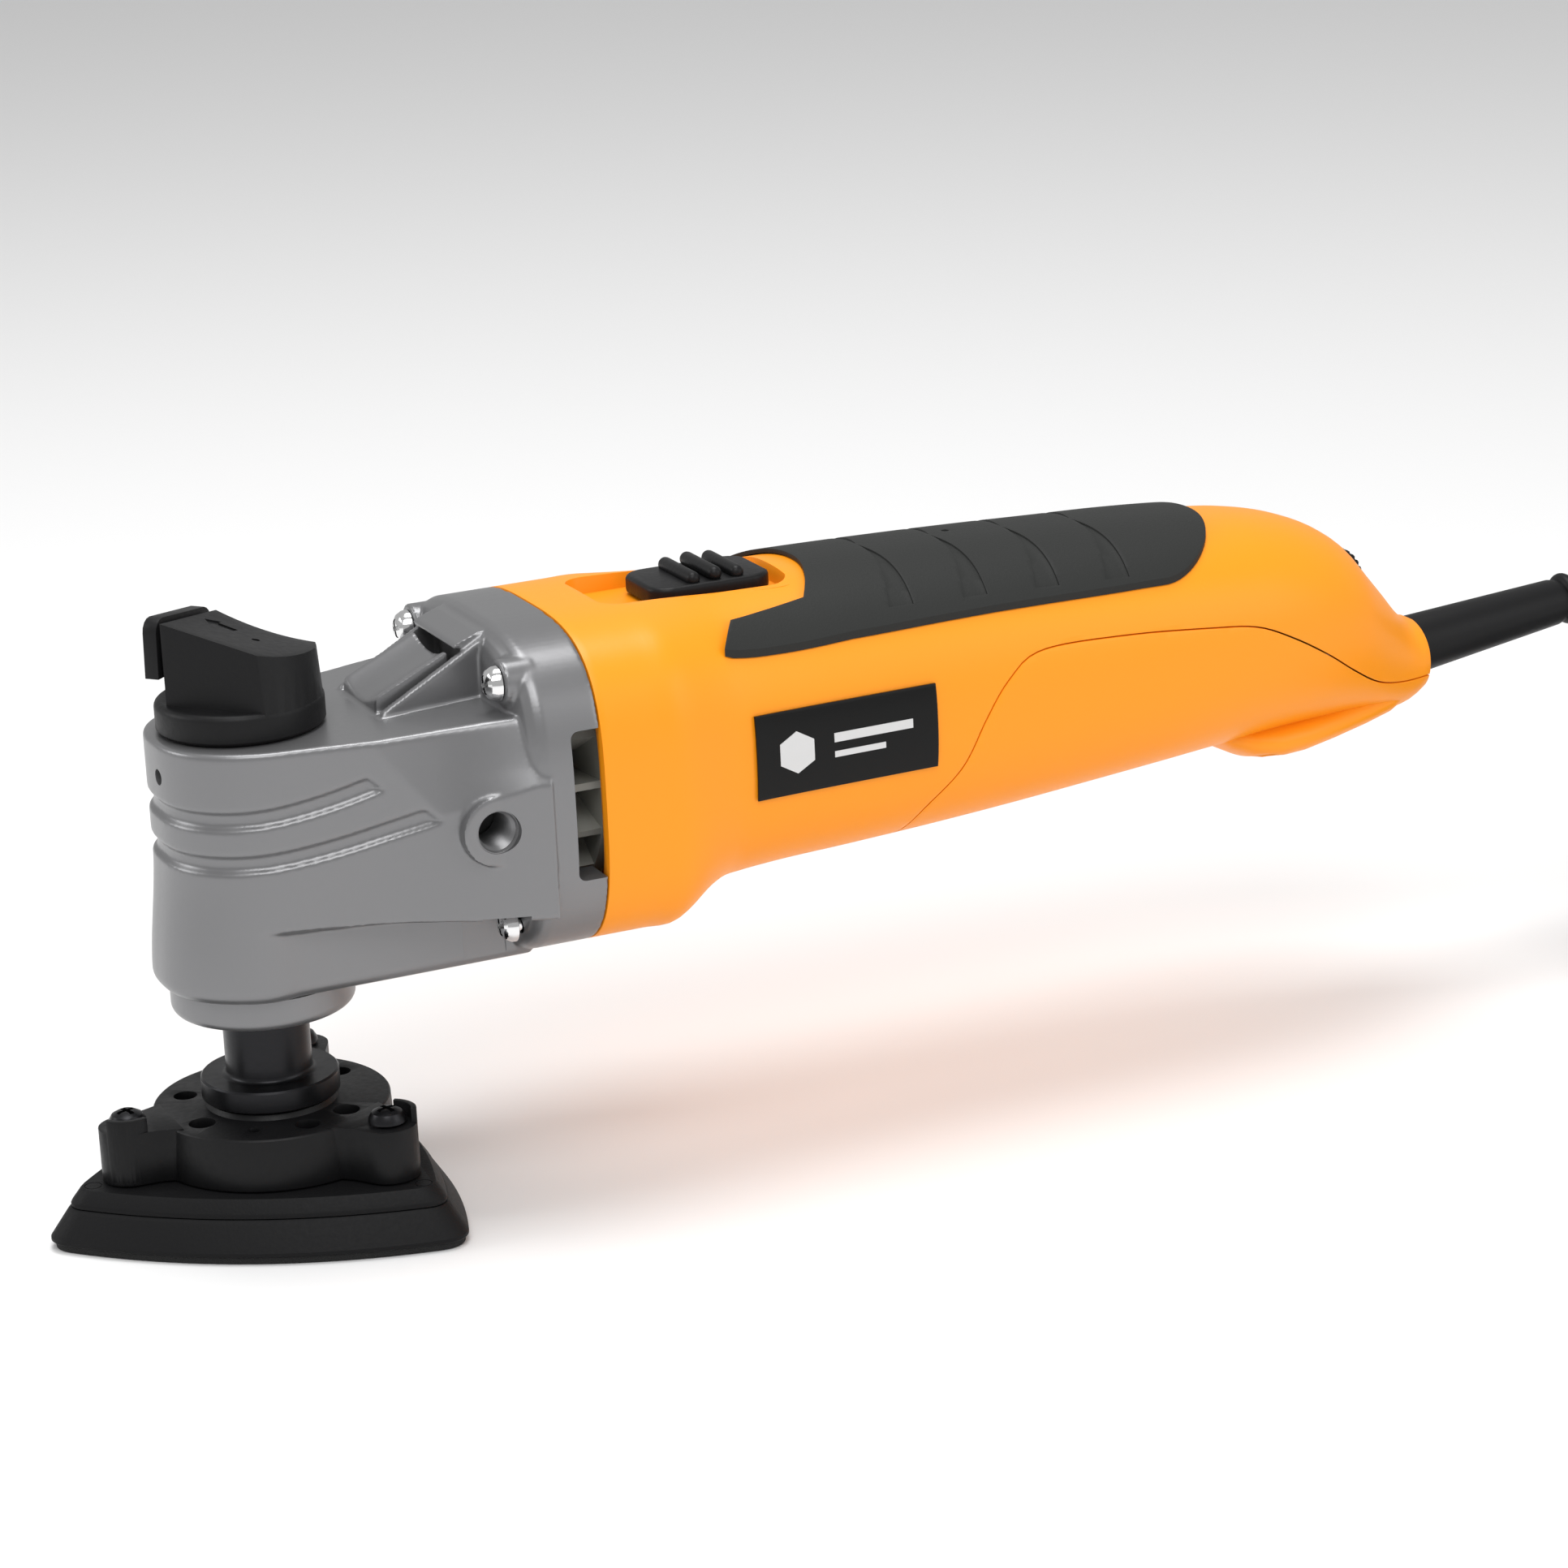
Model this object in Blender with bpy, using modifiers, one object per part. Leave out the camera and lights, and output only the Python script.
"""Oscillating multi tool with a corded motor, a delta sanding pad and a quick clamp.

Frame: the spindle axis is the Z axis, the pad's working face is the plane Z = 0, and +X runs from
the gear head to the mains cord. All sizes are in millimetres and are scaled to metres at the end.
"""
import math

import bmesh
import bpy
import numpy as np
from mathutils import Matrix, Vector

MM = 0.001
GAP = 0.3                      # clearance between neighbouring pieces

# Motor axis, spindle and head
MOTOR_Z = 79.5
HEAD_TOP = 96.1
HEAD_BOTTOM = 46.9
HEAD_FRONT_R = 18.6            # plan radius of the rounded head front at its top
HEAD_DRAFT = 1.8               # how much wider the head front is at its bottom
HEAD_FLARE = math.radians(9.2)  # the head's sides open towards the collar
COLLAR_X = 58.5                # seam between the gear housing and the motor housing
COLLAR = (34.4, 47.0, 111.0, 3.3)  # half width, bottom, top and roundness of the collar
SCREW_YZ = [(-23.5, 103.0), (23.5, 103.0), (-23.5, 55.6), (23.5, 55.6)]
SCREW_SEAT = 42.7

# Handle body: station x, half width, bottom z, top z, roundness of the section
BODY = [
    (58.8, 34.4, 47.0, 111.0, 3.3), (70.0, 34.4, 47.0, 111.0, 3.3), (78.0, 34.0, 47.8, 111.0, 3.2),
    (84.0, 32.8, 49.4, 111.0, 2.9), (88.5, 30.6, 52.3, 111.0, 2.6), (100.0, 29.8, 52.8, 110.9, 2.45),
    (118.0, 29.2, 53.5, 110.8, 2.4), (136.0, 28.8, 54.4, 110.4, 2.4), (154.0, 28.4, 55.6, 109.8, 2.4),
    (172.0, 28.0, 57.1, 109.0, 2.4), (188.0, 27.6, 58.5, 108.3, 2.4), (203.0, 26.5, 59.6, 107.3, 2.35),
    (214.0, 25.0, 60.0, 106.1, 2.3), (224.0, 22.7, 60.0, 103.6, 2.25), (231.0, 20.4, 59.9, 100.4, 2.2),
    (236.0, 18.2, 59.7, 96.6, 2.2), (240.0, 16.1, 59.3, 91.8, 2.2), (245.0, 13.3, 58.9, 85.8, 2.2),
    (249.0, 11.3, 59.1, 80.9, 2.15), (252.5, 10.0, 60.2, 77.9, 2.1), (254.6, 9.4, 61.6, 77.3, 2.1),
]
WALL = 2.6
COVER_SCREWS = [(213.0, -13.0), (213.0, 13.0), (243.0, 0.0)]
SEAM = [(126.0, 44.0), (127.0, 55.0), (129.5, 63.0), (136.5, 71.5), (141.3, 80.5), (147.0, 88.0),
        (155.0, 92.4), (175.0, 92.2), (193.0, 90.6), (204.0, 88.9), (213.0, 84.9), (222.0, 79.6),
        (230.0, 74.2), (238.0, 69.6), (246.0, 67.4), (254.0, 66.8), (268.0, 66.8), (268.0, 44.0)]

# Pad
PAD_TIP_R = 47.0
PAD_BULGE = 7.8
CARRIER_R = 22.6
CARRIER_TOP = 21.5
LUG_R = 28.8
LUG_ANGLES = [math.radians(a) for a in (180, 60, -60)]
CARRIER_HOLES = [math.radians(a) for a in (146, 113, 201, 274, 306, 22, 50)]
CARRIER_HOLE_PITCH = 17.2
SPINDLE_R = 8.27
FLANGE_R = 13.25
ROD_R = 3.0
SPRING_FOOT = 94.3             # the clamp spring stands on the spindle's top

# Cord
CORD_D = 6.8
RELIEF_START = Vector((255.0, 0.0, 70.92))
RELIEF_TILT = math.radians(6.1)
RELIEF_LENGTH = 42.3
COIL_CENTRE = (345.0, -30.0)
COIL_OUTER = 43.0              # centreline radius of the outermost turn
COIL_PITCH = 6.9
TURN_POINTS = 16
COIL_LAYERS = 4
LAYER_TURNS = 1.75
LEAD = [(297.6, 0.0, 75.5), (306.0, 0.0, 76.2), (316.0, 0.5, 76.0), (327.0, 2.4, 73.4), (338.0, 5.6, 67.6),
        (348.0, 8.6, 59.4), (358.0, 8.9, 50.4), (368.0, 5.4, 42.6), (377.0, -1.5, 37.0),
        (383.6, -11.0, 33.6), (387.2, -21.0, 32.0), (388.0, -30.0, 31.4)]
PLUG_START = 386.0
PLUG_Z = 7.0


# ---------------------------------------------------------------- scene helpers
def fresh_collections():
    for obj in list(bpy.data.objects):
        bpy.data.objects.remove(obj, do_unlink=True)
    parts = bpy.data.collections.new("oscillating_multi_tool")
    cutters = bpy.data.collections.new("cutters")
    for coll in (parts, cutters):
        bpy.context.scene.collection.children.link(coll)
    return parts, cutters


PARTS, CUTTERS = fresh_collections()


def material(name, colour, roughness, metallic=0.0):
    mat = bpy.data.materials.new(name)
    mat.use_nodes = True
    shader = mat.node_tree.nodes["Principled BSDF"]
    shader.inputs["Base Color"].default_value = (*colour, 1.0)
    shader.inputs["Roughness"].default_value = roughness
    shader.inputs["Metallic"].default_value = metallic
    return mat


GREY_CAST = material("grey_cast", (0.24, 0.24, 0.25), 0.38, 0.7)
ORANGE = material("orange_plastic", (0.93, 0.31, 0.01), 0.42)
BLACK = material("black_plastic", (0.018, 0.018, 0.018), 0.45)
RUBBER = material("black_rubber", (0.03, 0.031, 0.032), 0.72)
LABEL = material("label_black", (0.006, 0.006, 0.006), 0.25)
STEEL = material("bright_steel", (0.62, 0.62, 0.62), 0.22, 1.0)
BLACK_STEEL = material("black_steel", (0.03, 0.03, 0.032), 0.35, 0.8)
COPPER = material("copper", (0.72, 0.33, 0.16), 0.35, 1.0)
LAMINATION = material("lamination_steel", (0.3, 0.3, 0.31), 0.5, 0.9)
CARBON = material("carbon", (0.05, 0.05, 0.055), 0.6)
BRASS = material("brass", (0.75, 0.55, 0.22), 0.3, 1.0)
NYLON = material("white_nylon", (0.75, 0.73, 0.66), 0.5)
FOAM = material("pad_rubber", (0.02, 0.02, 0.021), 0.8)
HOOK = material("hook_fabric", (0.03, 0.03, 0.03), 0.95)
CIRCUIT = material("circuit_board", (0.05, 0.2, 0.08), 0.5)


def add_object(name, mesh, mat, collection=None, origin=(0, 0, 0)):
    """Link a mesh, given in millimetres in the part's frame, as a named piece."""
    mesh.transform(Matrix.Translation(-Vector(origin)))
    mesh.transform(Matrix.Scale(MM, 4))
    obj = bpy.data.objects.new(name, mesh)
    obj.location = Vector(origin) * MM
    (collection or PARTS).objects.link(obj)
    if mat:
        mesh.materials.append(mat)
    if collection is CUTTERS:
        obj.hide_render = True
        obj.display_type = "WIRE"
    return obj


def mesh_from(bm, name):
    bmesh.ops.remove_doubles(bm, verts=bm.verts, dist=1e-4)
    bmesh.ops.recalc_face_normals(bm, faces=bm.faces)
    mesh = bpy.data.meshes.new(name)
    bm.to_mesh(mesh)
    bm.free()
    return mesh


def box(name, low, high, mat, collection=None, turn=None, bevel=0.0):
    bm = bmesh.new()
    size = Vector(high) - Vector(low)
    middle = (Vector(high) + Vector(low)) / 2
    bmesh.ops.create_cube(bm, size=1.0, matrix=Matrix.Diagonal((*size, 1.0)))
    if bevel:
        bmesh.ops.bevel(bm, geom=bm.edges[:], offset=bevel, segments=2, profile=0.5, affect="EDGES")
    place = Matrix.Translation(middle)
    bmesh.ops.transform(bm, matrix=(turn or Matrix()) @ place, verts=bm.verts)
    return add_object(name, mesh_from(bm, name), mat, collection)


def along(start, direction):
    """Matrix that carries the Z axis onto a direction from a start point."""
    turn = Vector((0, 0, 1)).rotation_difference(Vector(direction).normalized())
    return Matrix.Translation(Vector(start)) @ turn.to_matrix().to_4x4()


def rod(name, start, direction, radius, length, mat, collection=None, sides=24):
    bm = bmesh.new()
    bmesh.ops.create_cone(bm, cap_ends=True, segments=sides, radius1=radius, radius2=radius, depth=length)
    lift = Matrix.Translation((0, 0, length / 2))
    bmesh.ops.transform(bm, matrix=along(start, direction) @ lift, verts=bm.verts)
    return add_object(name, mesh_from(bm, name), mat, collection)


def turned(name, profile, mat, collection=None, place=None, steps=32):
    """Turn a closed outline of (radius, height) points, which runs down its outer side."""
    bm = bmesh.new()
    verts = [bm.verts.new((r, 0, z)) for r, z in profile]
    for first, second in zip(verts, verts[1:]):
        bm.edges.new((first, second))
    if profile[0][0] > 1e-6 and profile[-1][0] > 1e-6:
        bm.edges.new((verts[-1], verts[0]))
    mesh = bpy.data.meshes.new(name)
    bm.to_mesh(mesh)
    bm.free()
    mesh.transform(Matrix.Scale(MM, 4))
    obj = bpy.data.objects.new(name, mesh)
    obj.matrix_world = to_metres(place or Matrix())
    (collection or PARTS).objects.link(obj)
    if mat:
        mesh.materials.append(mat)
    screw = obj.modifiers.new("turn", "SCREW")
    screw.steps = steps
    screw.render_steps = steps
    screw.use_merge_vertices = True
    screw.merge_threshold = 0.00001
    if collection is CUTTERS:
        obj.hide_render = True
        obj.display_type = "WIRE"
    return obj


def to_metres(matrix):
    out = matrix.copy()
    out.translation = matrix.translation * MM
    return out


def cut(obj, *tools, operation="DIFFERENCE"):
    for tool in tools:
        boolean = obj.modifiers.new("boolean", "BOOLEAN")
        boolean.operation = operation
        boolean.object = tool
    return obj


def bevel(obj, width, segments=2, angle=40):
    mod = obj.modifiers.new("bevel", "BEVEL")
    mod.width = width * MM
    mod.segments = segments
    mod.limit_method = "ANGLE"
    mod.angle_limit = math.radians(angle)
    return obj


def loft(name, rings, mat, collection=None):
    """Skin a list of equal rings of points and close both ends."""
    bm = bmesh.new()
    rows = [[bm.verts.new(p) for p in ring] for ring in rings]
    count = len(rows[0])
    for near, far in zip(rows, rows[1:]):
        for i in range(count):
            j = (i + 1) % count
            bm.faces.new((near[i], near[j], far[j], far[i]))
    bm.faces.new(rows[0][::-1])
    bm.faces.new(rows[-1])
    return add_object(name, mesh_from(bm, name), mat, collection)


def prism(name, outline, low, high, mat, collection=None, axis="Z", turn=None):
    """Extrude a flat outline between two heights along an axis."""
    make = {"Z": lambda a, b, h: (a, b, h), "Y": lambda a, b, h: (a, h, b),
            "X": lambda a, b, h: (h, a, b)}[axis]
    bm = bmesh.new()
    rows = [[bm.verts.new(make(a, b, h)) for a, b in outline] for h in (low, high)]
    count = len(outline)
    for i in range(count):
        j = (i + 1) % count
        bm.faces.new((rows[0][i], rows[0][j], rows[1][j], rows[1][i]))
    bm.faces.new(rows[0][::-1])
    bm.faces.new(rows[1])
    if turn:
        bmesh.ops.transform(bm, matrix=turn, verts=bm.verts)
    return add_object(name, mesh_from(bm, name), mat, collection)


def arc(centre, radius, start, end, count):
    return [(centre[0] + radius * math.cos(a), centre[1] + radius * math.sin(a))
            for a in np.linspace(start, end, count)]


def curve_points(route, step):
    """Points a step apart on a smooth curve through a route."""
    pts = [Vector(p) for p in route]
    pts = [2 * pts[0] - pts[1]] + pts + [2 * pts[-1] - pts[-2]]
    fine = []
    for a, b, c, d in zip(pts, pts[1:], pts[2:], pts[3:]):
        for t in np.linspace(0, 1, 16, endpoint=False):
            fine.append(0.5 * (2 * b + (c - a) * t + (2 * a - 5 * b + 4 * c - d) * t ** 2
                               + (3 * b - a - 3 * c + d) * t ** 3))
    fine.append(pts[-2])
    steps = [0.0]
    for p, q in zip(fine, fine[1:]):
        steps.append(steps[-1] + (q - p).length)
    wanted = np.linspace(0, steps[-1], max(3, round(steps[-1] / step) + 1))
    return [Vector([np.interp(w, steps, [p[k] for p in fine]) for k in range(3)]) for w in wanted]


def tube(name, points, radius, mat, resolution=3):
    curve = bpy.data.curves.new(name, "CURVE")
    curve.dimensions = "3D"
    curve.bevel_depth = radius * MM
    curve.bevel_resolution = resolution
    curve.use_fill_caps = True
    spline = curve.splines.new("POLY")
    spline.points.add(len(points) - 1)
    for target, point in zip(spline.points, points):
        target.co = (*(Vector(point) * MM), 1.0)
    curve.materials.append(mat)
    obj = bpy.data.objects.new(name, curve)
    PARTS.objects.link(obj)
    return obj


# ---------------------------------------------------------------- sections and outlines
def section(x, half, low, high, power, count=36):
    """A rounded cross-section of the body at a station x."""
    ring = []
    for t in np.linspace(0, 2 * math.pi, count, endpoint=False):
        c, s = math.cos(t), math.sin(t)
        y = half * math.copysign(abs(c) ** (2 / power), c)
        z = (low + high) / 2 + (high - low) / 2 * math.copysign(abs(s) ** (2 / power), s)
        ring.append((x, y, z))
    return ring


def body_loft(name, grow, mat=None, first=None, last=None, collection=CUTTERS, count=36):
    """The body's outer shape, grown or shrunk, between two stations."""
    rows = [r for r in BODY if (first is None or r[0] > first) and (last is None or r[0] < last)]
    if first is not None:
        rows = [(first, *body_at(first))] + rows
    if last is not None:
        rows = rows + [(last, *body_at(last))]
    rings = [section(x, w + grow, low - grow, high + grow, n, count) for x, w, low, high, n in rows]
    return loft(name, rings, mat, collection)


def body_at(x):
    """Half width, bottom, top and roundness of the body at a station."""
    stations = [r[0] for r in BODY]
    return [float(np.interp(x, stations, [r[k] for r in BODY])) for k in range(1, 5)]


def head_outline(radius, end, shoulder=19.0, flare=HEAD_FLARE, count=14):
    """Plan outline of the head: a rounded front whose sides open towards the collar."""
    def side(x):
        return radius * math.cos(flare) + (x + radius * math.sin(flare)) * math.tan(flare)

    front = arc((0, 0), radius, math.pi / 2 + flare, 3 * math.pi / 2 - flare, count)
    near = [(end, side(end)), (shoulder, side(shoulder))]
    far = [(shoulder, -side(shoulder)), (end, -side(end))]
    return near + front + far


def pad_outline(tip, bulge, corner=4.0, side_points=9):
    """Delta outline: three arcs between rounded tips."""
    tips = [Vector((tip * math.cos(a), tip * math.sin(a))) for a in LUG_ANGLES]
    outline = []
    for k, a in enumerate(tips):
        b = tips[(k + 1) % 3]
        chord = b - a
        out = -Vector((chord.y, -chord.x)).normalized()
        if out.dot(a + b) < 0:
            out = -out
        inset = corner / chord.length
        for t in np.linspace(inset, 1 - inset, side_points):
            lift = bulge * (1 - (2 * t - 1) ** 2)
            outline.append(tuple(a + chord * t + out * lift))
        outline.append(tuple(b * (1 - 0.35 * corner / tip)))
    return outline


def ring_profile(inner, outer, low, high):
    """Closed outline of a plain ring, down its outer side and up its bore."""
    return [(outer, high), (outer, low), (inner, low), (inner, high)]


AXIS_X = Matrix.Rotation(math.pi / 2, 4, "Y")


def on_motor_axis(z=MOTOR_Z):
    return Matrix.Translation((0, 0, z)) @ AXIS_X


# ---------------------------------------------------------------- gear housing
def gear_housing():
    levels = [(HEAD_BOTTOM, HEAD_DRAFT - 1.6), (49.0, HEAD_DRAFT), (72.0, HEAD_DRAFT * 0.6), (94.6, 0.0),
              (HEAD_TOP, -1.4)]
    rings = []
    for z, extra in levels:
        outline = head_outline(HEAD_FRONT_R + extra, 48.0)
        rings.append([(x, y, z) for x, y in outline])
    head = loft("gear_housing", rings, GREY_CAST)
    flare = loft("head_flare", [
        section(14.0, 19.0, 52.0, 92.0, 4.0), section(27.0, 24.6, 50.0, 90.0, 3.0),
        section(38.0, 31.6, 49.0, 94.0, 2.6), section(46.0, 34.0, 47.2, 106.0, 3.0),
        section(49.5, *COLLAR), section(COLLAR_X, *COLLAR)], GREY_CAST, CUTTERS)
    hood = prism("vent_hood", [(23.5, 96.0), (24.0, 98.6), (31.0, 102.0), (37.5, 107.4), (43.0, 109.2),
                               (50.0, 110.0), (50.0, 96.0)], -12.0, 12.0, None, CUTTERS, "Y")
    rise = prism("head_top_rise", [(19.0, 94.0), (19.0, 96.0), (48.0, 97.6), (48.0, 94.0)], -22.0, 22.0, None,
                 CUTTERS, "Y")
    cut(head, flare, rise, hood, operation="UNION")
    for side in (-1, 1):
        boss = rod("handle_boss", (37.6, side * 20.0, 77.2), (0, side, 0), 6.6, 12.6, None, CUTTERS)
        cut(head, boss, operation="UNION")
    cutters = [
        turned("lower_bearing_seat", [(0, 57.6), (15.3, 57.6), (15.3, 40.0), (0, 40.0)], None, CUTTERS),
        turned("spindle_chamber", [(0, 85.0), (13.6, 85.0), (13.6, 57.0), (0, 57.0)], None, CUTTERS),
        turned("upper_bearing_seat", [(0, 91.6), (11.3, 91.6), (11.3, 84.5), (0, 84.5)], None, CUTTERS),
        turned("knob_bore", [(0, 99.0), (7.6, 99.0), (7.6, 91.0), (0, 91.0)], None, CUTTERS),
        box("fork_chamber", (2.0, -13.4, 66.0), (34.6, 13.4, 90.5), None, CUTTERS),
        rod("front_bearing_seat", (34.0, 0, MOTOR_Z), (1, 0, 0), 11.3, 13.0, None, CUTTERS, sides=32),
        rod("fan_chamber", (46.5, 0, MOTOR_Z), (1, 0, 0), 28.4, 14.0, None, CUTTERS, sides=40),
        box("hood_slot", (36.0, -9.0, 103.4), (58.0, 9.0, 107.0), None, CUTTERS),
        rod("grub_screw_hole", (-24.0, -4.0, 89.5), (1, 0.15, 0), 1.6, 12.0, None, CUTTERS, sides=12),
    ]
    for side in (-1, 1):
        cutters.append(rod("handle_hole", (37.6, side * 40.0, 77.2), (0, -side, 0), 3.6, 15.0, None,
                           CUTTERS))
        inner, outer = sorted((side * 18.0, side * 40.0))
        cutters.append(box("side_vent", (52.6, inner, 65.0), (60.0, outer, 93.6), None, CUTTERS))
    for y, z in SCREW_YZ:
        out = math.copysign(3.2, y)
        cutters.append(rod("screw_pocket", (34.0, y, z), (1, 0, 0), 4.4, 9.0, None, CUTTERS, sides=20))
        cutters.append(rod("screw_hole", (40.0, y, z), (1, 0, 0), 2.0, 22.0, None, CUTTERS, sides=12))
        low, high = sorted((y, y + out * 3.2))
        cutters.append(box("pocket_mouth", (34.0, low, z - 4.0), (42.9, high, z + 4.0), None, CUTTERS))
    for inner, outer in ((19.3, 40.0), (-40.0, -19.3)):
        cutters.append(prism("lower_channel", [(-1.0, 40.0), (5.0, 61.2), (42.3, 59.3), (42.3, 40.0)],
                             inner, outer, None, CUTTERS, "Y"))
    return cut(head, *cutters)


def housing_screws():
    for index, (y, z) in enumerate(SCREW_YZ, 1):
        turned(f"housing_screw_{index}",
               [(0, 2.9), (2.2, 2.6), (3.4, 1.4), (3.4, 0), (1.7, 0), (1.7, -26.0), (0, -26.0)], STEEL,
               place=along((SCREW_SEAT, y, z), (-1, 0, 0)), steps=16)


def bearing_retainer():
    profile = [(17.57, 46.6), (17.57, 42.8), (16.9, 41.4), (15.6, 40.84), (9.2, 40.84), (9.2, 44.0),
               (13.0, 44.0), (13.0, 46.6)]
    turned("bearing_retainer", profile, GREY_CAST, steps=48)


# ---------------------------------------------------------------- knob
FIN_TURN = Matrix.Rotation(math.radians(-49), 4, "Z")


def fin_top(u, v):
    """Height of the fin's sloping top, a little hollow along its length."""
    hollow = (1 - ((u - 1) / 10.5) ** 2) * (0.5 + v / 20)
    return 114.3 - 0.227 * u - 0.13 * v - 0.9 * hollow


def clamp_knob():
    base = turned("clamp_knob", [(0, 103.4), (12.0, 103.2), (15.2, 102.6), (15.95, 101.6), (15.95, 96.45),
                                 (0, 96.45)], BLACK, steps=48)
    rows = []
    for v in np.linspace(-10.4, 9.6, 5):
        right = math.sqrt(15.9 ** 2 - v * v)
        right_top = math.sqrt(15.1 ** 2 - v * v)
        rows.append([(-9.4, v, 99.0)] + [(right if u is None else u, v, 99.0) for u in (4.0, None)]
                    + [(u, v, fin_top(u, v)) for u in (right_top, 8.0, 3.0, -3.0, -9.4)])
    bm = bmesh.new()
    rings = [[bm.verts.new(FIN_TURN @ Vector(p)) for p in row] for row in rows]
    count = len(rings[0])
    for near, far in zip(rings, rings[1:]):
        for i in range(count):
            j = (i + 1) % count
            bm.faces.new((near[i], near[j], far[j], far[i]))
    bm.faces.new(rings[0][::-1])
    bm.faces.new(rings[-1])
    fin = add_object("knob_fin", mesh_from(bm, "knob_fin"), None, CUTTERS)
    hollow = turned("knob_hollow", [(0, 103.6), (7.2, 103.6), (7.2, 90.0), (0, 90.0)], None, CUTTERS)
    latch_slot = box("latch_slot", (-12.0, -4.4, 105.2), (-2.4, 4.4, 111.4), None, CUTTERS, turn=FIN_TURN)
    pin_hole = box("latch_pin_hole", (-7.4, -7.4, 107.1), (-4.6, 7.4, 109.9), None, CUTTERS, turn=FIN_TURN)
    spot = rod("knob_spot", (2.4, -3.0, 109.0), (0, 0, 1), 0.9, 8.0, None, CUTTERS, sides=12)
    cut(base, fin, operation="UNION")
    cut(base, hollow, latch_slot, pin_hole, spot)


def knob_latch():
    """Finger plate in front of the fin, on a tongue that turns on a cross pin."""
    outline = [(-10.6, 107.0), (9.4, 107.0), (9.4, 113.4), (6.8, 116.0), (-7.2, 118.3), (-10.0, 116.6)]
    turn = FIN_TURN
    plate = prism("knob_latch", outline, -13.4, -10.6, BLACK, axis="X", turn=turn)
    tongue = box("latch_tongue", (-10.8, -3.9, 106.9), (-3.9, 3.9, 110.1), None, CUTTERS, turn=turn)
    hole = rod("latch_pin_bore", turn @ Vector((-6.0, -8.0, 108.5)), turn @ Vector((0, 1, 0)), 1.1, 16.0,
               None, CUTTERS, sides=12)
    cut(plate, tongue, operation="UNION")
    cut(plate, hole)
    rod("latch_pin", turn @ Vector((-6.0, -7.0, 108.5)), turn @ Vector((0, 1, 0)), 0.8, 14.0, STEEL,
        sides=12)


# ---------------------------------------------------------------- spindle and clamp
def spindle_parts():
    turned("spindle", [(3.4, 94.0), (5.4, 94.0), (5.4, 84.0), (7.0, 83.0), (7.0, 66.0), (SPINDLE_R, 65.0),
                       (SPINDLE_R, 29.4), (9.2, 27.9), (FLANGE_R, 27.3), (FLANGE_R, 23.0), (3.4, 23.0)],
           BLACK_STEEL, steps=40)
    turned("spindle_lower_bearing", [(r, z) for r, z in ring_profile(8.6, 15.0, 47.1, 57.2)], STEEL)
    turned("spindle_upper_bearing", ring_profile(5.7, 11.0, 85.3, 91.2), STEEL)
    turned("clamp_rod", [(0, 101.6), (ROD_R, 101.6), (ROD_R, 18.7), (9.0, 18.7), (9.0, 16.4), (0, 16.4)],
           STEEL)
    turned("rod_collar", ring_profile(3.3, 6.2, 99.2, 101.9), STEEL, steps=24)
    turns, steps_per_turn = 3, 14
    helix = [(4.7 * math.cos(t), 4.7 * math.sin(t), SPRING_FOOT + 0.5 + 3.6 * t / (2 * math.pi * turns))
             for t in np.linspace(0, 2 * math.pi * turns, turns * steps_per_turn + 1)]
    tube("clamp_spring", helix, 0.42, STEEL, resolution=1)


def drive_fork():
    hub = turned("drive_fork", ring_profile(7.3, 11.4, 72.0, 82.5), LAMINATION)
    for side in (-1, 1):
        low, high = sorted((side * 8.3, side * 12.2))
        arm = box("fork_arm", (4.0, low, 73.5), (25.5, high, 82.0), None, CUTTERS)
        cut(hub, arm, operation="UNION")


# ---------------------------------------------------------------- motor
ECCENTRIC = 0.6


def motor_parts():
    turned("motor_shaft", [
        (0, 141.0), (3.2, 141.0), (3.2, 36.0), (4.0, 36.0), (4.0, 27.0), (0, 27.0)], STEEL,
        place=on_motor_axis(), steps=24)
    rod("eccentric_pin", (16.5, 0, MOTOR_Z + ECCENTRIC), (1, 0, 0), 2.6, 10.2, STEEL)
    turned("eccentric_bearing", ring_profile(2.9, 6.5, 17.5, 24.0), STEEL,
           place=on_motor_axis(z=MOTOR_Z + ECCENTRIC), steps=24)
    turned("front_motor_bearing", ring_profile(3.5, 11.0, 37.0, 46.0), STEEL, place=on_motor_axis())
    turned("rear_motor_bearing", ring_profile(3.5, 9.5, 133.0, 140.0), STEEL, place=on_motor_axis())
    turned("armature_core", ring_profile(3.5, 14.5, 74.0, 106.0), LAMINATION, place=on_motor_axis())
    turned("commutator", ring_profile(3.5, 9.5, 113.0, 126.0), COPPER, place=on_motor_axis())
    for side, name in ((-1, "a"), (1, "b")):
        holder = box(f"brush_holder_{name}", (115.0, side * 17.0 - 4.5, MOTOR_Z - 5.0),
                     (124.0, side * 17.0 + 4.5, MOTOR_Z + 5.0), BRASS)
        low, high = sorted((side * 9.8, side * 24.0))
        bore = box("brush_bore", (116.6, low, MOTOR_Z - 3.4), (122.4, high, MOTOR_Z + 3.4), None, CUTTERS)
        cut(holder, bore)
        low, high = sorted((side * 9.9, side * 19.5))
        box(f"carbon_brush_{name}", (116.9, low, MOTOR_Z - 3.1), (122.1, high, MOTOR_Z + 3.1), CARBON)


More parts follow.
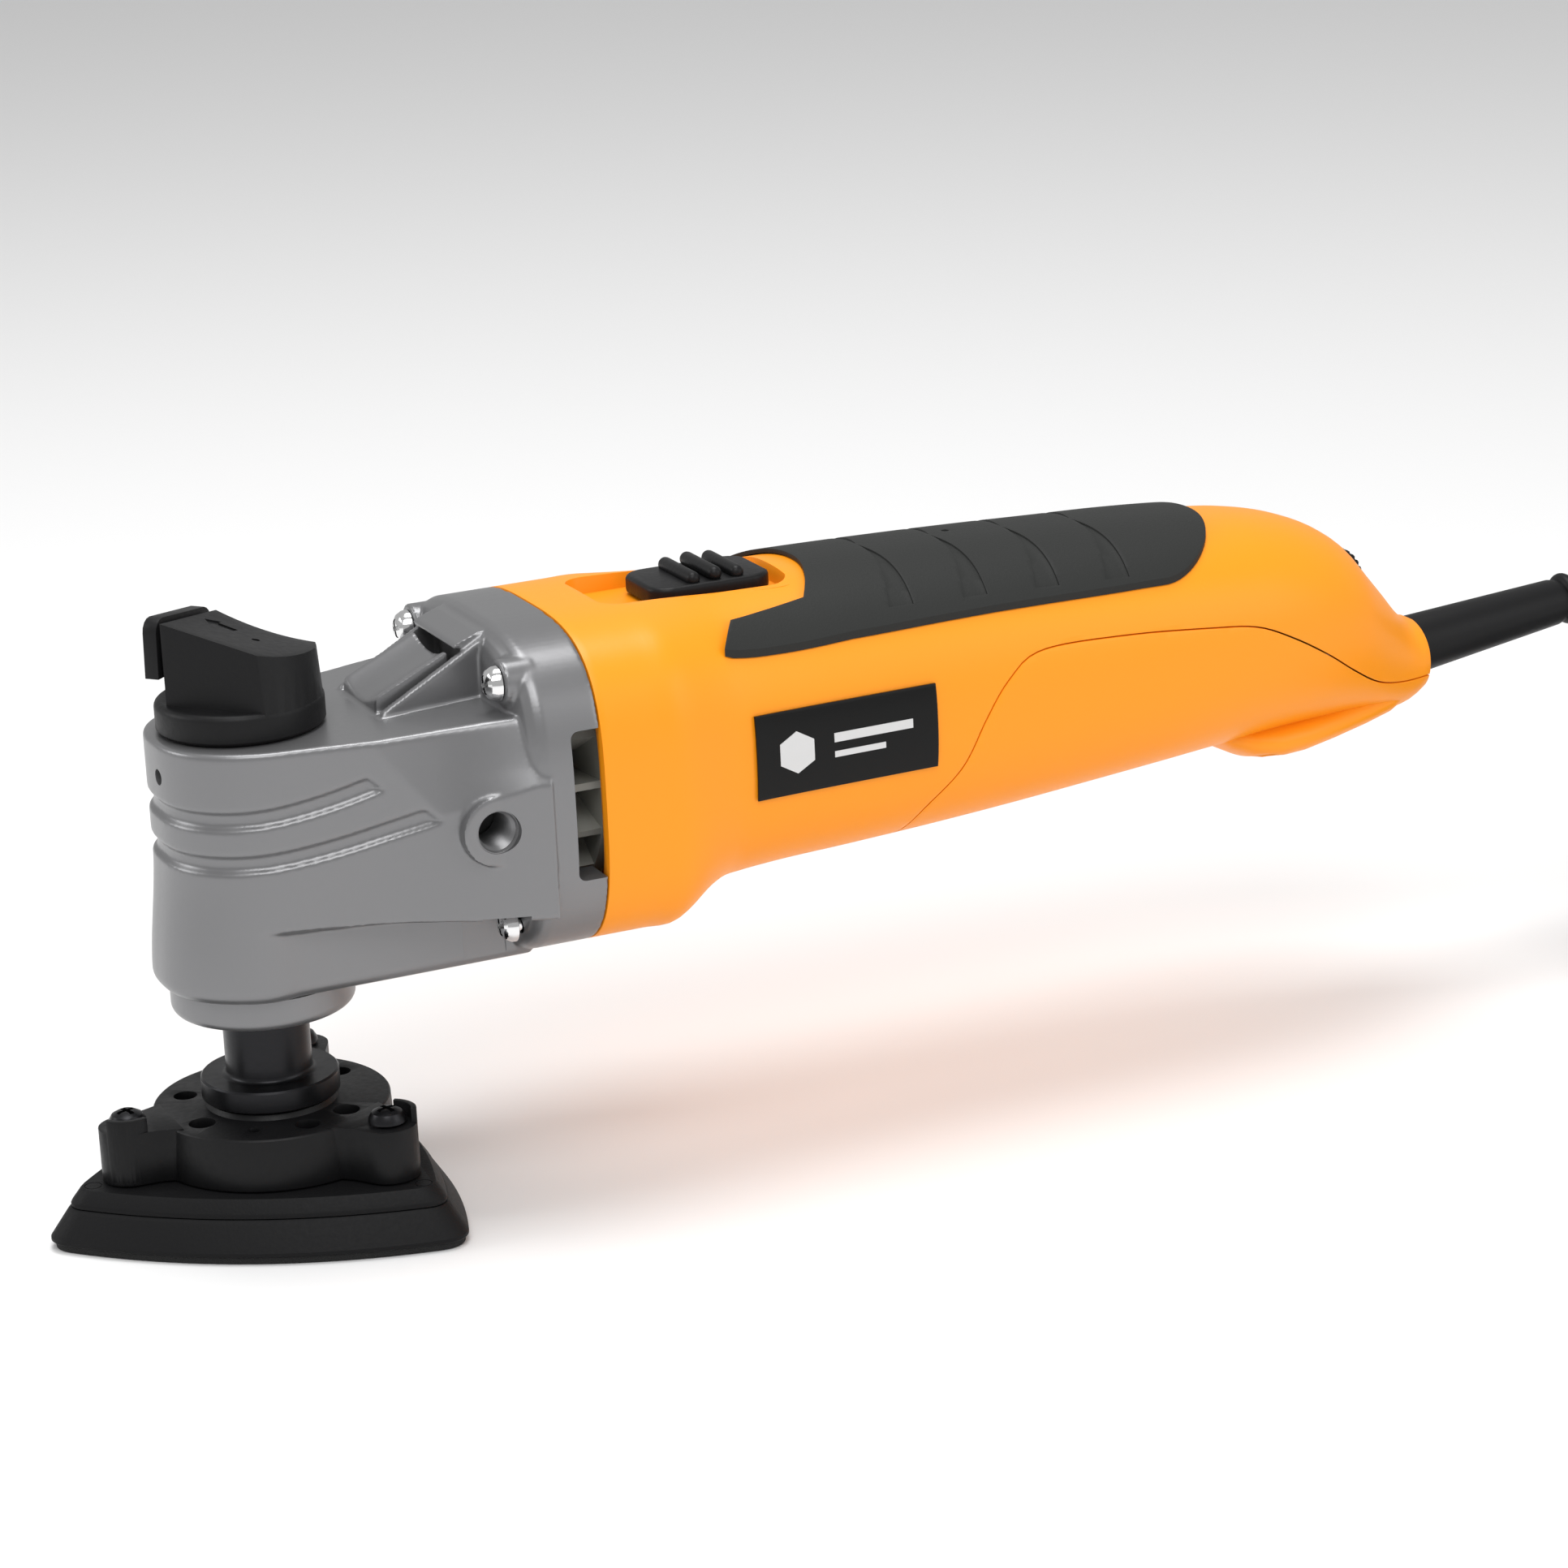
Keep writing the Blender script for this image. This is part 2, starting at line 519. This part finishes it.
def fan():
    """Nylon fan: a back disc with curved blades in front of it."""
    wheel = turned("cooling_fan", ring_profile(3.5, 25.5, 61.5, 64.0), NYLON, place=on_motor_axis(),
                   steps=40)
    hub = turned("fan_hub", ring_profile(3.5, 7.5, 50.5, 61.8), None, CUTTERS, on_motor_axis(), steps=24)
    cut(wheel, hub, operation="UNION")
    for k in range(9):
        a = 2 * math.pi * k / 9
        turn = Matrix.Translation((0, 0, MOTOR_Z)) @ Matrix.Rotation(a, 4, "X")
        blade = box("fan_blade", (50.8, -0.8, 6.5), (61.8, 0.8, 25.2), None, CUTTERS, turn=turn)
        cut(wheel, blade, operation="UNION")
    return wheel


def stator():
    """A ring of laminations with two poles, each inside its own field coil."""
    core = turned("stator_core", ring_profile(19.0, 23.0, 76.0, 104.0), LAMINATION, place=on_motor_axis(),
                  steps=40)
    for side, name in ((-1, "lower"), (1, "upper")):
        low, high = sorted((side * 15.2, side * 20.5))
        pole = box("pole", (78.0, -6.2, MOTOR_Z + low), (102.0, 6.2, MOTOR_Z + high), None, CUTTERS)
        cut(core, pole, operation="UNION")
        coil = turned(f"field_coil_{name}", ring_profile(15.3, 18.6, 72.0, 108.0), COPPER,
                      place=on_motor_axis(), steps=40)
        low, high = sorted((side * -25.0, side * 4.0))
        half = box("coil_half", (70.0, -25.0, MOTOR_Z + low), (110.0, 25.0, MOTOR_Z + high), None, CUTTERS)
        low, high = sorted((side * 10.0, side * 20.0))
        hole = box("coil_hole", (77.6, -6.6, MOTOR_Z + low), (102.4, 6.6, MOTOR_Z + high), None, CUTTERS)
        cut(coil, half, hole)


def rear_bearing_bracket():
    bracket = box("rear_bearing_bracket", (131.0, -22.5, MOTOR_Z - 11.0), (142.0, 22.5, MOTOR_Z + 11.0),
                  BLACK, bevel=1.0)
    seat = rod("rear_seat", (130.0, 0, MOTOR_Z), (1, 0, 0), 9.8, 10.5, None, CUTTERS)
    through = rod("rear_through", (139.0, 0, MOTOR_Z), (1, 0, 0), 5.0, 6.0, None, CUTTERS)
    cut(bracket, seat, through)


# ---------------------------------------------------------------- handle shells
def seam_line(shift):
    """The seam's outline, moved along its own normal, closed below the body."""
    pts = [Vector(p) for p in SEAM]
    moved = []
    for k, p in enumerate(pts[:-1]):
        before, after = pts[max(k - 1, 0)], pts[k + 1] if k + 2 < len(pts) else pts[k]
        run = (after - before).normalized()
        moved.append(tuple(p + Vector((-run.y, run.x)) * shift))
    return moved + [(SEAM[-1][0], SEAM[-1][1])]


def handle_hollow(name):
    """The space inside the handle shells."""
    return body_loft(name, -WALL, first=57.0, last=246.0)


def rear_bump(name):
    """The swelling under the tail that holds two cover screws."""
    return loft(name, [section(x, w, low, 66.0, 2.2, 20) for x, w, low in (
        (199.5, 15.0, 60.9), (206.5, 18.0, 56.5), (213.0, 19.0, 55.0), (222.0, 18.0, 55.3),
        (232.0, 13.0, 57.5), (240.0, 9.0, 60.0))], None, CUTTERS)


def relief_place():
    direction = Vector((math.cos(RELIEF_TILT), 0, math.sin(RELIEF_TILT)))
    return along(RELIEF_START, direction)


def cord_bore(name):
    profile = [(0, 4.0), (6.6, 4.0), (6.6, -3.9), (8.0, -3.9), (8.0, -8.6), (0, -8.6)]
    return turned(name, profile, None, CUTTERS, relief_place())


def long_hole(front, rear, radius):
    """Outline with two round ends."""
    return (arc((front, 0), radius, math.pi / 2, 3 * math.pi / 2, 12)
            + arc((rear, 0), radius, -math.pi / 2, math.pi / 2, 12))


def switch_pocket(name, low, high, grow=0.0):
    """The recess of the slide switch, with rounded ends."""
    return prism(name, long_hole(82.0, 96.0, 11.6 + grow), low, high, None, CUTTERS)


def dial_slot(name):
    return rod(name, (239.5, 5.1, 85.0), (0, 1, 0), 8.6, 5.8, None, CUTTERS, sides=28)


def motor_housing():
    shell = body_loft("motor_housing", 0.0, ORANGE, collection=PARTS)
    hollow = handle_hollow("handle_hollow_upper")
    cut(shell, hollow)
    cut(shell, switch_pocket("switch_floor", 105.2, 109.6, 1.8), operation="UNION")
    cutters = [prism("seam_block_upper", seam_line(GAP / 2), -50.0, 50.0, None, CUTTERS, "Y"),
               switch_pocket("switch_pocket", 107.4, 115.0),
               cord_bore("cord_bore_upper"), dial_slot("dial_slot"),
               box("link_slot", (82.6, -3.6, 104.0), (96.2, 3.6, 109.0), None, CUTTERS)]
    cut(shell, *cutters)
    for y, z in SCREW_YZ:
        boss = rod("front_screw_boss", (58.8, y, z), (1, 0, 0), 4.2, 14.0, None, CUTTERS, sides=16)
        bore = rod("front_boss_bore", (56.0, y, z), (1, 0, 0), 2.0, 15.5, None, CUTTERS, sides=12)
        cut(shell, boss, operation="UNION")
        cut(shell, bore)
    for x, y in COVER_SCREWS:
        top = body_at(x)[2] - 2.0 if y == 0 else 99.0
        boss = rod("screw_boss", (x, y, 72.0), (0, 0, 1), 3.6, top - 72.0, None, CUTTERS, sides=14)
        cut(shell, boss, operation="UNION")
        hole = rod("boss_bore", (x, y, 71.0), (0, 0, 1), 1.9, 12.0, None, CUTTERS, sides=12)
        cut(shell, hole)


def rear_lower_cover():
    shell = body_loft("rear_lower_cover", 0.0, ORANGE, collection=PARTS)
    cut(shell, rear_bump("rear_bump"), operation="UNION")
    keep = prism("seam_block_lower", seam_line(-GAP / 2), -50.0, 50.0, None, CUTTERS, "Y")
    cut(shell, keep, operation="INTERSECT")
    cut(shell, handle_hollow("handle_hollow_lower"), cord_bore("cord_bore_lower"))
    for x, y in COVER_SCREWS:
        cut(shell, rod("cover_screw_hole", (x, y, 50.0), (0, 0, 1), 1.9, 20.0, None, CUTTERS, sides=12))
        cut(shell, rod("cover_screw_recess", (x, y, 50.0), (0, 0, 1), 3.7, 9.0, None, CUTTERS, sides=16))


def cover_screws():
    for index, (x, y) in enumerate(COVER_SCREWS, 1):
        turned(f"cover_screw_{index}", [(0, 80.0), (1.5, 80.0), (1.5, 58.6), (3.2, 58.6), (3.2, 57.4),
                                        (2.0, 56.6), (0, 56.4)], BLACK_STEEL,
               place=Matrix.Translation((x, y, 0)), steps=16)


def grip_plan():
    """Plan outline of the grip: two prongs beside the switch and a round rear end."""
    side = [(91.5, 21.3), (87.8, 26.4), (115.0, 25.0), (147.0, 24.0)]
    rear = [(184.0 + 19.0 * math.cos(a), 23.2 * math.sin(a))
            for a in np.linspace(math.pi / 2, -math.pi / 2, 15)]
    tongue = [(108.4 + 5.8 * (1 - (y / 18.0) ** 2), y) for y in np.linspace(-18.0, 18.0, 9)]
    return side + rear + [(x, -y) for x, y in side[::-1]] + tongue


def grip_overmould():
    grip = body_loft("grip_overmould", 1.1, RUBBER, first=84.0, last=212.0, collection=PARTS)
    core = body_loft("grip_core", GAP, first=80.0, last=216.0)
    stamp = prism("grip_stamp", grip_plan(), 84.0, 125.0, None, CUTTERS)
    cut(grip, core)
    cut(grip, stamp, operation="INTERSECT")


def label_plate():
    plate = body_loft("label_plate", 1.0, LABEL, first=88.6, last=134.0, collection=PARTS, count=72)
    core = body_loft("label_core", GAP, first=86.0, last=136.0, count=72)
    stamp = box("label_stamp", (91.5, -50.0, 73.2), (130.5, -20.0, 90.0), None, CUTTERS)
    cut(plate, core)
    cut(plate, stamp, operation="INTERSECT")


# ---------------------------------------------------------------- controls
def switch_slider():
    slider = prism("switch_slider", long_hole(86.5, 96.8, 8.7), 107.8, 111.7, BLACK)
    for x in (87.5, 92.0, 96.5):
        ridge = rod("slider_ridge", (x, -7.4, 112.6), (0, 1, 0), 1.5, 14.8, None, CUTTERS, sides=12)
        cut(slider, ridge, operation="UNION")
    stem = box("slider_stem", (89.8, -3.0, 103.0), (95.4, 3.0, 108.4), None, CUTTERS)
    cut(slider, stem, operation="UNION")
    box("switch_link_rod", (96.0, -1.8, 103.2), (163.4, 1.8, 104.8), BLACK)


def handle_internals():
    box("power_switch", (164.0, -8.0, 76.0), (190.0, 8.0, 98.0), BLACK, bevel=0.8)
    board = box("speed_control_board", (192.5, -12.0, 84.0), (208.5, 12.0, 86.0), CIRCUIT)
    heat = box("board_chip", (195.0, -9.0, 85.5), (206.0, 0.0, 92.0), None, CUTTERS)
    cut(board, heat, operation="UNION")
    turned("speed_dial", [(8.2, 2.2), (8.2, -2.2), (1.4, -2.2), (1.4, 2.2)], BLACK,
           place=Matrix.Translation((239.5, 8.0, 85.0)) @ Matrix.Rotation(-math.pi / 2, 4, "X"), steps=30)
    rod("dial_axle", (239.5, 4.4, 85.0), (0, 1, 0), 1.1, 5.8, STEEL, sides=12)
    clamp = box("cord_clamp", (228.0, -9.0, 66.0), (236.0, 9.0, 70.0), BLACK, bevel=0.6)
    groove = rod("clamp_groove", (226.0, 0, 72.6), (1, 0, 0), 4.2, 12.0, None, CUTTERS, sides=16)
    cut(clamp, groove)


# ---------------------------------------------------------------- pad
def pad_parts():
    outline_low, outline_mid = pad_outline(PAD_TIP_R, PAD_BULGE), pad_outline(42.3, 6.4, 3.4)
    hook = [(x * 0.985, y * 0.985) for x, y in outline_low]
    prism("hook_layer", hook, 0.0, 1.1, HOOK)
    rings = [[(x, y, z) for x, y in o] for o, z in (
        (hook, 1.4), (outline_low, 2.2), (pad_outline(45.0, 7.4, 3.8), 4.6), (outline_mid, 7.4))]
    loft("sanding_pad", rings, FOAM)
    rings = [[(x, y, z) for x, y in o] for o, z in (
        (outline_mid, 7.7), (pad_outline(42.0, 6.3, 3.4), 8.3), (pad_outline(40.0, 5.8, 3.2), 11.0))]
    plate = loft("backing_plate", rings, BLACK)
    for index, a in enumerate(LUG_ANGLES, 1):
        x, y = LUG_R * math.cos(a), LUG_R * math.sin(a)
        cut(plate, rod("pad_screw_thread", (x, y, 8.2), (0, 0, 1), 1.6, 4.0, None, CUTTERS, sides=12))
        turned(f"pad_screw_{index}", [(0, 25.0), (2.0, 24.8), (3.5, 23.6), (3.6, 22.1), (1.3, 22.1),
                                      (1.3, 8.6), (0, 8.6)], BLACK_STEEL, place=Matrix.Translation((x, y, 0)),
               steps=16)


def pad_carrier():
    """A drum with three lugs, open underneath, with a ring of holes in its top."""
    drum = turned("pad_carrier", [(3.4, 22.6), (12.6, 22.6), (12.8, CARRIER_TOP), (CARRIER_R, CARRIER_TOP),
                                  (CARRIER_R + 0.6, 11.3), (19.8, 11.3), (19.8, 19.0), (3.4, 19.0)], BLACK,
                  steps=60)
    for a in LUG_ANGLES:
        turn = Matrix.Rotation(a, 4, "Z")
        outline = [(20.4, -6.6), (23.5, -5.4)] + arc((LUG_R, 0), 5.4, -math.pi / 2, math.pi / 2, 9) + [
            (23.5, 5.4), (20.4, 6.6)]
        lug = prism("pad_lug", outline, 11.3, 21.8, None, CUTTERS, turn=turn)
        cut(drum, lug, operation="UNION")
        cut(drum, rod("lug_bore", turn @ Vector((LUG_R, 0, 10.0)), (0, 0, 1), 1.6, 14.0, None, CUTTERS,
                      sides=12))
    for a in CARRIER_HOLES:
        centre = (CARRIER_HOLE_PITCH * math.cos(a), CARRIER_HOLE_PITCH * math.sin(a), 17.0)
        cut(drum, rod("carrier_hole", centre, (0, 0, 1), 2.3, 7.0, None, CUTTERS, sides=14))


# ---------------------------------------------------------------- cord
def strain_relief():
    length = RELIEF_LENGTH
    turned("strain_relief", [(0, length), (4.2, length), (5.2, length - 1.6), (5.2, length - 5.0),
                             (4.95, length - 6.4), (6.2, 0.3), (6.2, -4.3), (7.6, -4.3), (7.6, -6.5),
                             (0, -6.5)], BLACK, place=relief_place(), steps=28)


def coil_route():
    """The coil's centreline: layers that wind inwards and outwards by turns, from the top down."""
    angle, radius, height = 0.0, COIL_OUTER, CORD_D / 2 + (COIL_LAYERS - 1) * COIL_PITCH
    route = []
    for layer in range(COIL_LAYERS):
        inward = -1 if layer % 2 == 0 else 1
        for point in range(int(LAYER_TURNS * TURN_POINTS)):
            route.append((angle, radius, height))
            angle -= 2 * math.pi / TURN_POINTS
            radius += inward * COIL_PITCH / TURN_POINTS
        if layer < COIL_LAYERS - 1:
            for point in range(TURN_POINTS // 4):
                route.append((angle, radius, height))
                angle -= 2 * math.pi / TURN_POINTS
                height -= COIL_PITCH / (TURN_POINTS // 4)
    route.append((angle, radius, height))
    x, y = COIL_CENTRE
    return [(x + r * math.cos(a), y + r * math.sin(a), h) for a, r, h in route]


def cord_parts():
    tube("cord_tube", curve_points(LEAD, 2.2 * CORD_D), CORD_D / 2, BLACK, resolution=3)
    inner = COIL_OUTER - LAYER_TURNS * COIL_PITCH - CORD_D / 2 - 0.2
    outer = COIL_OUTER + CORD_D / 2 + 0.2
    top = (COIL_LAYERS - 1) * COIL_PITCH + CORD_D
    turned("cord_coil", ring_profile(inner, outer, 0.05, top), BLACK,
           place=Matrix.Translation((*COIL_CENTRE, 0)), steps=40)
    x, y, z = coil_route()[-1]
    start = x + math.sqrt((outer + GAP) ** 2 - (COIL_OUTER - CORD_D / 2) ** 2)
    tail = [(start, y, z), (start + 4.0, y, z + 0.4), (start + 8.0, y, z + 1.8),
            (PLUG_START - 3.6, y, PLUG_Z), (PLUG_START - GAP - 0.05, y, PLUG_Z)]
    tube("cord_tail", curve_points(tail, 0.5 * CORD_D), CORD_D / 2, BLACK, resolution=3)
    return y


def plug(y):
    half = [(0, -5.0), (6, -8.0), (14, -13.4), (30, -17.6), (34, -17.6)]
    outline = half + [(a, -b) for a, b in half[::-1]]
    body = prism("plug_body", [(PLUG_START + a, y + b) for a, b in outline], 0.1, 13.9, BLACK)
    bevel(body, 1.6, 2, 30)
    for side, name in ((-1, "a"), (1, "b")):
        cut(body, rod("pin_bore", (PLUG_START + 30.0, y + side * 9.3, PLUG_Z), (1, 0, 0), 2.3, 8.0, None,
                      CUTTERS, sides=16))
        rod(f"plug_pin_{name}", (PLUG_START + 30.4, y + side * 9.3, PLUG_Z), (1, 0, 0), 2.0, 22.0, STEEL,
            sides=16)


def smooth_round_pieces():
    for obj in PARTS.objects:
        if obj.type == "MESH":
            obj.data.shade_smooth()


def build():
    gear_housing()
    housing_screws()
    bearing_retainer()
    clamp_knob()
    knob_latch()
    spindle_parts()
    drive_fork()
    motor_parts()
    fan()
    stator()
    rear_bearing_bracket()
    motor_housing()
    rear_lower_cover()
    cover_screws()
    grip_overmould()
    label_plate()
    switch_slider()
    handle_internals()
    pad_parts()
    pad_carrier()
    strain_relief()
    plug(cord_parts())
    smooth_round_pieces()


build()
